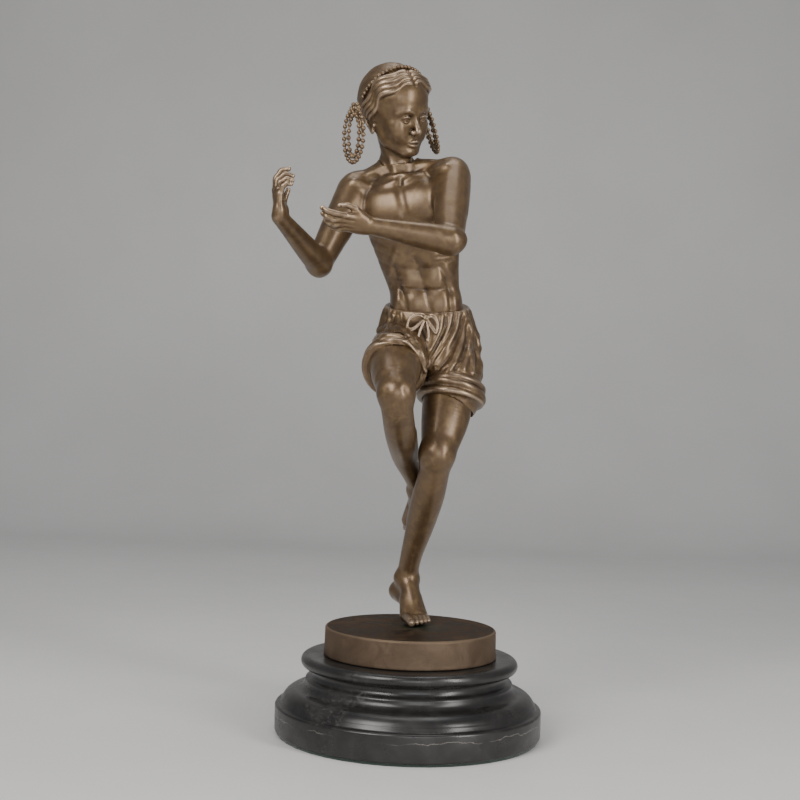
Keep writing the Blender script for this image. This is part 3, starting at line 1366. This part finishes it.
def cast_bow():
    clay = room("drawstring_bow", GRID["bow"])
    wide = [(0, 0, 0), (-5, -1.6, 1.4), (-10.4, -1.2, -1.4), (-12, -1, -7), (-8.4, -1.4, -8), (0, 0, -1)]
    narrow = [(0, 0, 0), (4.4, -1.4, 0.6), (7.2, -1.4, -4), (6.6, -1.8, -9.6), (3.4, -1.6, -6), (0, 0, -1)]
    for loop in (wide, narrow):
        path = smooth_path([KNOT + vec(*point) for point in loop], 8)
        for side in (-0.62, 0.62):  # the cord is doubled
            clay.add(Rod(path + vec(0.3, 0, 1) * side, 0.78, steps=1), 0.25)
    long_end = [(0, 0, 0), (1.2, -1.4, -7), (1.8, -2, -12), (1.4, -1.8, -15)]
    short_end = [(0, 0, 0), (-3, -1.6, -7), (-5, -2, -14)]
    for end in (long_end, short_end):
        path = smooth_path([KNOT + vec(*point) for point in end], 8)
        clay.add(Rod(path, 0.95, steps=1), 0.3)
        clay.add(Ball(path[-1], (1.2, 1.1, 1.5)), 0.3)
    clay.add(Ball(KNOT + vec(0, -0.4, -0.4), (2.3, 1.9, 2.1)), 0.5)
    groove = [KNOT + vec(-2.2, -1.6, 0.8), KNOT + vec(0, -2.4, -0.4), KNOT + vec(2.2, -1.6, -1.4)]
    clay.emboss(groove, -0.4, 0.5)
    cast("DrawstringBow", clay, "drawstring_bow")


# ---- Beads -------------------------------------------------------------------------------------

BEAD_WEAR = (0.3, 0.5)  # every bead stands proud, so it is worn
THREAD_SHARE = 0.4  # the wire's radius as a share of the beads'


def beads(name, centres, radius, wire, *nodes):
    """Beads threaded on a wire, as one piece."""
    builder = bmesh.new()
    for centre in centres:
        size = radius * rng.uniform(0.95, 1.03)
        turned = Euler(rng.uniform(0, 6.2, 3)).to_matrix().to_4x4()
        spot = Matrix.Translation(Vector(centre * MM)) @ turned
        squash = Matrix.Diagonal((*(size * MM * rng.uniform(0.94, 1.04, 3)), 1))
        bmesh.ops.create_uvsphere(builder, u_segments=16, v_segments=11, radius=1, matrix=spot @ squash)
    for path, closed in wire:
        thread(builder, path, THREAD_SHARE * radius, closed)
    mesh = bpy.data.meshes.new(name)
    builder.to_mesh(mesh)
    builder.free()
    rubbed = rng.uniform(*BEAD_WEAR, len(mesh.vertices)).astype(np.float32)
    for label in ("fine_relief", "broad_relief"):
        mesh.attributes.new(label, "FLOAT", "POINT").data.foreach_set("value", rubbed)
    mesh.polygons.foreach_set("use_smooth", np.ones(len(mesh.polygons), bool))
    obj = bpy.data.objects.new(name, mesh)
    bpy.context.scene.collection.objects.link(obj)
    return finished(obj, "bronze", bronze, *nodes)


def thread(builder, path, radius, closed, sides=8):
    """A round wire along a path, added to a bmesh."""
    path = np.asarray(path, float)
    following = np.roll(path, -1, 0) - np.roll(path, 1, 0)
    if not closed:
        following[0], following[-1] = path[1] - path[0], path[-1] - path[-2]
    rings = []
    for point, ahead in zip(path, following):
        ahead = unit(ahead)
        across = unit(np.cross(ahead, HEAD_TURN[:, 0] + 0.01))
        other = np.cross(ahead, across)
        angles = np.arange(sides) * 2 * math.pi / sides
        circle = [point + radius * (across * math.cos(a) + other * math.sin(a)) for a in angles]
        rings.append([builder.verts.new(Vector(p * MM)) for p in circle])
    pairs = list(zip(rings[:-1], rings[1:]))
    if closed:
        pairs.append((rings[-1], rings[0]))
    else:
        builder.faces.new(reversed(rings[0]))
        builder.faces.new(rings[-1])
    for ring_a, ring_b in pairs:
        for k in range(sides):
            n = (k + 1) % sides
            builder.faces.new((ring_a[k], ring_a[n], ring_b[n], ring_b[k]))


LOOP = {
    "left": {"centre": vec(2, 29.8, 394.2), "yaw": 21, "swing": 20, "outward": 1},
    "right": {"centre": vec(-46.4, -8, 380), "yaw": 60, "swing": 0, "outward": -1},
}
STRANDS = {"outer": (7.2, 17.2, 27), "inner": (3.9, 13.6, 20)}  # half width, half height, beads
BEAD_RADIUS = 1.5


def on_loop(name, forward, up):
    """A point of an ear ring, given forwards and upwards from its centre."""
    spec = LOOP[name]
    swing, yaw = math.radians(spec["swing"]), math.radians(spec["yaw"])
    out = vec(math.cos(yaw), math.sin(yaw), 0) * spec["outward"]
    front = vec(math.sin(yaw), -math.cos(yaw), 0)
    return spec["centre"] + front * forward - out * math.sin(swing) * up + vec(0, 0, math.cos(swing) * up)


def ear_loops():
    for name in LOOP:
        for strand, (wide, tall, count) in STRANDS.items():
            angles = np.linspace(0, 2 * math.pi, count, endpoint=False) + (0.1 if strand == "inner" else 0)
            centres = [on_loop(name, wide * math.cos(a), tall * math.sin(a)) for a in angles]
            wires = [(centres, True)]
            if strand == "outer":
                top = on_loop(name, 0, tall)
                inward = unit(on_head(*CAP_CENTRE) - top)
                front = unit(on_loop(name, 1, 0) - LOOP[name]["centre"])
                wires.append(([top + inward * d for d in (-1, 3, 7, 10)], False))
                for a in np.arange(6) * math.pi / 3:  # a rosette of beads where the ring hangs
                    petal = front * math.cos(a) + vec(0, 0, math.sin(a))
                    centres.append(top + inward * 0.4 + 2.7 * petal)
            node = f"{name}_ear_loop" + ("_inner" if strand == "inner" else "")
            beads(f"{name.title()}EarLoop{strand.title()}", centres, BEAD_RADIUS, wires, node)


def on_band(angle, lift):
    """Where a ray in the headband's plane leaves the combed hair, and a little above it."""
    ray = vec(math.sin(angle), 0, math.cos(angle))
    ray[1] = -BAND_LEAN * ray[2] - BAND_SKEW * ray[0]
    radii = CAP_RADII - CAP_HAIR + lift
    a = ((ray / radii) ** 2).sum()
    b = BAND_BACK * ray[1] / radii[1] ** 2
    c = (BAND_BACK / radii[1]) ** 2 - 1
    reach = (-b + math.sqrt(b * b - a * c)) / a
    return on_head(*(CAP_CENTRE + ray * reach + vec(0, BAND_BACK, 0)))


BAND_LIFT = 1.1  # how far the middles of the headband's beads stand above the combed hair
BAND_BEAD_RADIUS = 1.35
BAND_ANGLES = np.radians(np.arange(-84, 84.1, 6.6))  # where its beads are, from ear to ear


def headband():
    path = [on_band(angle, BAND_LIFT) for angle in BAND_ANGLES]
    beads("Headband", path, BAND_BEAD_RADIUS, [(path, False)], "headband")


# ---- Base --------------------------------------------------------------------------------------


def lathe(name, outline, slot, material, *nodes, segments=256, sway=None, marks=None):
    """Turns an outline of [radius, z] rows about the Z axis. sway is a share added to a radius, given its
    angle and height. marks are attributes, with a value for each row."""
    outline = np.asarray(outline, float)
    angles = np.arange(segments) * 2 * math.pi / segments
    points = []
    for radius, z in outline:
        for angle in angles:
            r = radius * (1 + (sway(angle, z) if sway else 0))
            points.append((r * math.cos(angle), r * math.sin(angle), z))
    faces = []
    for k in range(len(outline) - 1):
        for j in range(segments):
            a, b = k * segments + j, k * segments + (j + 1) % segments
            faces.append([a, b, b + segments, a + segments])
    attributes = {}
    if marks is not None:
        attributes = {label: np.repeat(values, segments) for label, values in marks.items()}
    obj = mesh_object(name, np.array(points), np.array(faces), attributes)
    close_ends(obj, segments, len(outline))
    return finished(obj, slot, material, *nodes)


def close_ends(obj, segments, rings):
    builder = bmesh.new()
    builder.from_mesh(obj.data)
    builder.verts.ensure_lookup_table()
    verts = builder.verts
    for ring_index, turn in ((0, -1), (rings - 1, 1)):
        circle = [verts[ring_index * segments + j] for j in range(segments)]
        builder.faces.new(circle[::turn])
    builder.to_mesh(obj.data)
    builder.free()


def arc(centre, radius, start, end, count):
    """Rows of [radius, z] along an arc, in degrees."""
    return [
        [centre[0] + radius * math.cos(math.radians(a)), centre[1] + radius * math.sin(math.radians(a))]
        for a in np.linspace(start, end, count)
    ]


def marble_base():
    low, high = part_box("marble_base")
    bottom, top = low.z / MM, high.z / MM
    outline = [
        [0.5, bottom],
        [83.4, bottom],
        *arc((83.4, bottom + 1.4), 1.4, -90, 0, 5),
        [84.9, 10],
        *arc((83.2, 17.4), 1.7, 0, 90, 6),  # top edge of the lowest band
        [81.9, 19.3],
        [81.2, 19.7],
        [81.2, 21.4],
        *arc((70.8, 18.2), 10.4, 22, 84, 14),  # round shoulder
        *arc((71.6, 34.2), 5.6, -92, -176, 10),  # hollow above it
        [65.9, 35],
        *arc((66.2, 39.2), 4.5, 230, 130, 12),  # groove under the top moulding
        [64.4, 42],
        [66.2, 42.1],
        *arc((65.2, 46.0), 4.0, -72, 90, 16),  # round edge of the top moulding
        [64.2, top],
        [0.5, top],
    ]
    lathe("MarbleBase", outline, "marble", marble, "marble_base")


def bronze_plinth():
    low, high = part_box("bronze_plinth")
    bottom, top = low.z / MM, high.z / MM
    outline = [[0.4, bottom], [54.4, bottom], *arc((54.4, bottom + 0.9), 0.9, -90, 0, 5)]
    outline += [[55.1 - 0.03 * k, z] for k, z in enumerate(np.linspace(bottom + 2, top - 2.2, 12))]
    outline += arc((53.3, top - 1.5), 1.5, 0, 90, 8)
    outline += [[radius, top] for radius in np.linspace(52.4, 0.5, 36)]
    outline = np.array(outline)
    height = (outline[:, 1] - bottom) / (top - bottom)
    rubbed_rim = np.exp(-(((outline[:, 0] - 54.2) / 1.2) ** 2)) * np.clip((height - 0.8) * 5, 0, 1)
    dark_foot = np.exp(-((height / 0.12) ** 2))
    fine = rubbed_rim - dark_foot

    def sway(angle, z):
        """A cast disc isn't quite round, and stays just inside the CAD's."""
        waviness = 0.0016 * math.sin(3 * angle + 1) + 0.0012 * math.sin(5 * angle + 2.2 + 0.1 * z)
        return waviness - 0.003

    lathe("BronzePlinth", outline, "bronze", plinth, "bronze_plinth", sway=sway, marks={"fine_relief": fine})


# ---- Materials ---------------------------------------------------------------------------------


class Look:
    """A node material with one Principled shader."""

    def __init__(self, name, **constants):
        self.material = bpy.data.materials.new(name)
        self.material.use_nodes = True
        self.tree = self.material.node_tree
        self.tree.nodes.clear()
        self.shader = self.tree.nodes.new("ShaderNodeBsdfPrincipled")
        output = self.tree.nodes.new("ShaderNodeOutputMaterial")
        self.tree.links.new(self.shader.outputs["BSDF"], output.inputs["Surface"])
        self.place = self.tree.nodes.new("ShaderNodeTexCoord").outputs["Object"]
        for socket, value in constants.items():
            self.shader.inputs[socket.replace("_", " ")].default_value = value

    def add(self, kind, output=0, settings=None, **inputs):
        """A node; its inputs are given by name or number, as values or as sockets."""
        node = self.tree.nodes.new(f"ShaderNode{kind}")
        for key, value in (settings or {}).items():
            setattr(node, key, value)
        for key, value in inputs.items():
            socket = node.inputs[int(key[1:])] if key[0] == "i" and key[1:].isdigit() else node.inputs[key]
            if isinstance(value, bpy.types.NodeSocket):
                self.tree.links.new(value, socket)
            else:
                socket.default_value = value
        return node.outputs[output]

    def noise(self, scale, detail=4.0, rough=0.55, distortion=0.0):
        return self.add(
            "TexNoise",
            Vector=self.place,
            Scale=scale,
            Detail=detail,
            Roughness=rough,
            Distortion=distortion,
        )

    def attribute(self, name):
        return self.add("Attribute", "Fac", {"attribute_name": name})

    def split(self, vector):
        """The three parts of a vector."""
        node = self.tree.nodes.new("ShaderNodeSeparateXYZ")
        self.tree.links.new(vector, node.inputs[0])
        return list(node.outputs)

    def spread(self, value, low, high, to_low=0.0, to_high=1.0):
        """Stretches a range of a value over another range, with soft ends."""
        node = self.tree.nodes.new("ShaderNodeMapRange")
        node.interpolation_type = "SMOOTHSTEP"
        self.tree.links.new(value, node.inputs["Value"])
        sockets = ("From Min", "From Max", "To Min", "To Max")
        for socket, number in zip(sockets, (low, high, to_low, to_high)):
            node.inputs[socket].default_value = number
        return node.outputs["Result"]

    def sum(self, a, b):
        return self.add("Math", 0, {"operation": "ADD"}, i0=a, i1=b)

    def times(self, a, b):
        return self.add("Math", 0, {"operation": "MULTIPLY"}, i0=a, i1=b)

    def blend(self, share, a, b):
        """A colour between two."""
        node = self.tree.nodes.new("ShaderNodeMix")
        node.data_type = "RGBA"
        self.tree.links.new(share, node.inputs[0])
        for socket, colour in ((node.inputs[6], a), (node.inputs[7], b)):
            if isinstance(colour, bpy.types.NodeSocket):
                self.tree.links.new(colour, socket)
            else:
                socket.default_value = (*colour, 1)
        return node.outputs[2]

    def bump(self, height, strength, distance, normal=None):
        node = self.tree.nodes.new("ShaderNodeBump")
        node.inputs["Strength"].default_value = strength
        node.inputs["Distance"].default_value = distance
        self.tree.links.new(height, node.inputs["Height"])
        if normal is not None:
            self.tree.links.new(normal, node.inputs["Normal"])
        return node.outputs["Normal"]

    def set(self, **sockets):
        for name, value in sockets.items():
            self.tree.links.new(value, self.shader.inputs[name.replace("_", " ")])
        return self.material


def bronze_look():
    """Brown patina under wax, a little rubbed where it stands proud and darker in the hollows."""
    look = Look(
        "Bronze",
        Metallic=0.6,
        Specular_IOR_Level=0.5,
        Coat_Weight=0.32,
        Coat_Roughness=0.28,
    )
    fine, broad = look.attribute("fine_relief"), look.attribute("broad_relief")
    clouds = look.noise(34, 5, 0.6, 0.4)
    mottle = look.noise(190, 6, 0.65, 0.3)
    grain = look.noise(1500, 4, 0.6)
    wear = look.sum(look.times(fine, 0.55), look.times(broad, 0.35))
    wear = look.sum(wear, look.spread(mottle, 0.3, 0.7, -0.1, 0.1))
    patina = look.blend(look.spread(clouds, 0.35, 0.65), (0.1, 0.06, 0.03), (0.13, 0.08, 0.042))
    warm = look.blend(look.spread(mottle, 0.4, 0.68), patina, (0.155, 0.1, 0.046))
    rubbed = look.blend(look.spread(wear, 0.2, 1.0), warm, (0.36, 0.265, 0.185))
    colour = look.blend(look.spread(wear, -0.15, -0.9), rubbed, (0.026, 0.016, 0.0095))
    wax = look.spread(mottle, 0.3, 0.7, 0.32, 0.39)
    roughness = look.sum(wax, look.spread(wear, -0.6, 0.6, 0.1, -0.03))
    skin = look.bump(grain, 0.2, 0.00007)
    skin = look.bump(mottle, 0.22, 0.00018, skin)
    return look.set(Base_Color=colour, Roughness=roughness, Normal=skin, Coat_Normal=skin)


PLINTH_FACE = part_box("bronze_plinth")[1].z  # height of its top, in metres


def plinth_look():
    """The plinth's duller bronze: even brown round the side, blotchy and dark on top."""
    look = Look("PlinthBronze", Metallic=0.45, Specular_IOR_Level=0.25, Specular_Tint=(0.5, 0.4, 0.3, 1))
    fine = look.attribute("fine_relief")
    _, _, height = look.split(look.place)
    blotches = look.noise(70, 6, 0.7, 0.8)
    brown = look.blend(look.spread(blotches, 0.35, 0.65), (0.088, 0.062, 0.043), (0.12, 0.086, 0.06))
    top = look.blend(look.spread(blotches, 0.4, 0.62), (0.02, 0.0135, 0.0085), (0.07, 0.044, 0.026))
    beside = look.add(
        "VectorMath", "Value", {"operation": "DISTANCE"}, i0=look.place, i1=(0.006, 0.0, PLINTH_FACE)
    )
    verdigris = look.blend(look.spread(blotches, 0.35, 0.6), (0.012, 0.017, 0.012), (0.055, 0.05, 0.034))
    top = look.blend(look.spread(beside, 0.026, 0.008), top, verdigris)
    colour = look.blend(look.spread(height, PLINTH_FACE - 0.0012, PLINTH_FACE - 0.0004), brown, top)
    colour = look.blend(look.spread(fine, 0.35, 1.0), colour, (0.17, 0.125, 0.085))
    roughness = look.spread(blotches, 0.3, 0.7, 0.42, 0.58)
    skin = look.bump(look.noise(260, 6, 0.7), 0.35, 0.0003)
    return look.set(Base_Color=colour, Roughness=roughness, Normal=skin)


THREAD_HEIGHT = 0.0135  # of the pale thread in the marble's bottom band


def marble_look():
    """Black marble with a satin polish: faint clouds, tiny pits, rubbed patches and one pale thread."""
    look = Look("Marble", Specular_IOR_Level=0.5)
    east, _, height = look.split(look.place)
    clouds = look.spread(look.noise(38, 6, 0.65, 0.8), 0.38, 0.75)
    stone = look.blend(clouds, (0.0105, 0.0098, 0.0094), (0.026, 0.0245, 0.0235))
    wander = look.spread(look.noise(70, 4, 0.6), 0.3, 0.7, THREAD_HEIGHT - 0.0014, THREAD_HEIGHT + 0.0014)
    off_thread = look.sum(height, look.times(wander, -1.0))
    from_thread = look.add("Math", 0, {"operation": "ABSOLUTE"}, i0=off_thread)
    thread_broken = look.spread(look.noise(26, 3), 0.46, 0.54)
    thread_here = look.times(look.spread(from_thread, 0.00028, 0.00008), thread_broken)
    rubs = look.noise(300, 6, 0.75, 1.0)
    patch = look.times(look.spread(east, 0.01, -0.03), look.spread(look.noise(24, 3), 0.45, 0.62))
    rubbed = look.times(look.spread(rubs, 0.5, 0.62), patch)
    colour = look.blend(look.times(rubbed, 0.5), stone, (0.075, 0.07, 0.066))
    colour = look.blend(look.times(thread_here, 0.6), colour, (0.2, 0.185, 0.17))
    pits = look.spread(look.noise(900, 2, 0.5), 0.3, 0.22)
    roughness = look.sum(look.spread(look.noise(60, 5), 0.35, 0.7, 0.27, 0.36), look.times(rubbed, 0.25))
    skin = look.bump(pits, -0.35, 0.0002)
    skin = look.bump(look.noise(420, 3), 0.05, 0.0002, skin)
    return look.set(Base_Color=colour, Roughness=roughness, Normal=skin)


def steel_look():
    look = Look("Steel", Metallic=1.0)
    streaks = look.noise(700, 3, 0.5)
    colour = look.blend(look.spread(streaks, 0.3, 0.7), (0.42, 0.43, 0.44), (0.56, 0.57, 0.58))
    roughness = look.spread(look.noise(240, 4), 0.3, 0.7, 0.26, 0.44)
    return look.set(Base_Color=colour, Roughness=roughness, Normal=look.bump(streaks, 0.15, 0.00005))


def felt_look():
    look = Look("Felt", Sheen_Weight=0.4)
    fibres = look.noise(1600, 6, 0.7, 1.2)
    colour = look.blend(look.spread(fibres, 0.35, 0.65), (0.006, 0.014, 0.01), (0.02, 0.038, 0.028))
    roughness = look.spread(fibres, 0.3, 0.7, 0.86, 1.0)
    return look.set(Base_Color=colour, Roughness=roughness, Normal=look.bump(fibres, 0.7, 0.0004))


def floor_look():
    look = Look("Floor")
    tone = look.noise(3, 3)
    colour = look.blend(look.spread(tone, 0.3, 0.7), (0.6, 0.595, 0.585), (0.64, 0.635, 0.625))
    roughness = look.spread(look.noise(40, 4), 0.3, 0.7, 0.5, 0.6)
    return look.set(Base_Color=colour, Roughness=roughness)


# ---- Studio ------------------------------------------------------------------------------------


def softbox(name, place, target, size, power, tint=(1, 1, 1)):
    light = bpy.data.lights.new(name, "AREA")
    light.shape = "RECTANGLE"
    light.size, light.size_y = size
    light.energy = power
    light.color = tint
    obj = bpy.data.objects.new(name, light)
    obj.location = place
    obj.rotation_euler = (Vector(target) - Vector(place)).to_track_quat("-Z", "Y").to_euler()
    bpy.context.scene.collection.objects.link(obj)
    return obj


def studio():
    floor_material = floor_look()
    side, back, bend, wall = 3.0, 1.6, 0.5, 3.0
    profile = [(-side, 0.0), (back - bend, 0.0)]
    for a in np.linspace(0.1, math.pi / 2, 14):
        profile.append((back - bend + bend * math.sin(a), bend - bend * math.cos(a)))
    profile.append((back, wall))
    points = [(x / MM, y / MM, z / MM) for y, z in profile for x in (-side, side)]
    faces = [[2 * k, 2 * k + 1, 2 * k + 3, 2 * k + 2] for k in range(len(profile) - 1)]
    floor = mesh_object("Floor", np.array(points), np.array(faces))
    floor.data.materials.append(floor_material)

    low, high = CAD_BOUNDS
    middle = (Vector(low) + Vector(high)) / 2
    softbox("Key", (-0.65, -0.9, 0.9), middle, (0.6, 0.7), 14, (1, 0.97, 0.93))
    softbox("Strip", (0.85, -0.75, 0.5), middle, (0.22, 0.9), 10, (1, 0.97, 0.93))
    softbox("Fill", (0.2, -1.4, 0.35), middle, (0.8, 0.6), 5)
    softbox("Top", (0.0, 0.1, 1.2), middle, (0.7, 0.5), 4)

    world = bpy.data.worlds.new("Studio")
    world.use_nodes = True
    world.node_tree.nodes["Background"].inputs["Color"].default_value = (0.9, 0.93, 1.0, 1)
    world.node_tree.nodes["Background"].inputs["Strength"].default_value = 0.24
    bpy.context.scene.world = world


def camera():
    """Level with the waist and rolled a little, so that the trophy leans as it stands before the lens."""
    lens = bpy.data.cameras.new("Camera")
    lens.lens = 62.6
    lens.sensor_width = 36
    lens.dof.use_dof = False
    obj = bpy.data.objects.new("Camera", lens)
    obj.location = (-0.0115, -0.891, 0.213)
    obj.matrix_world = (
        Matrix.Translation(obj.location)
        @ Matrix.Rotation(math.radians(-1.9), 4, "Y")
        @ Matrix.Rotation(math.radians(90), 4, "X")
    )
    bpy.context.scene.collection.objects.link(obj)
    bpy.context.scene.camera = obj


# ---- Assembly ----------------------------------------------------------------------------------

bronze = bronze_look()
plinth = plinth_look()
marble = marble_look()
steel = steel_look()
felt = felt_look()
finishes = {"bronze": bronze, "marble": marble, "steel": steel, "felt": felt}
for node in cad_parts.values():
    for material_slot in node.material_slots:
        material_slot.material = finishes[material_slot.material.name.split(".")[0]]

cast_torso()
cast_head()
cast_arm("left")
cast_arm("right")
cast_shorts()
cast_bow()
cast_leg("left", "standing_leg", trim=flat_sole)
cast_leg("right", "raised_leg")
ear_loops()
headband()
marble_base()
bronze_plinth()
studio()
camera()
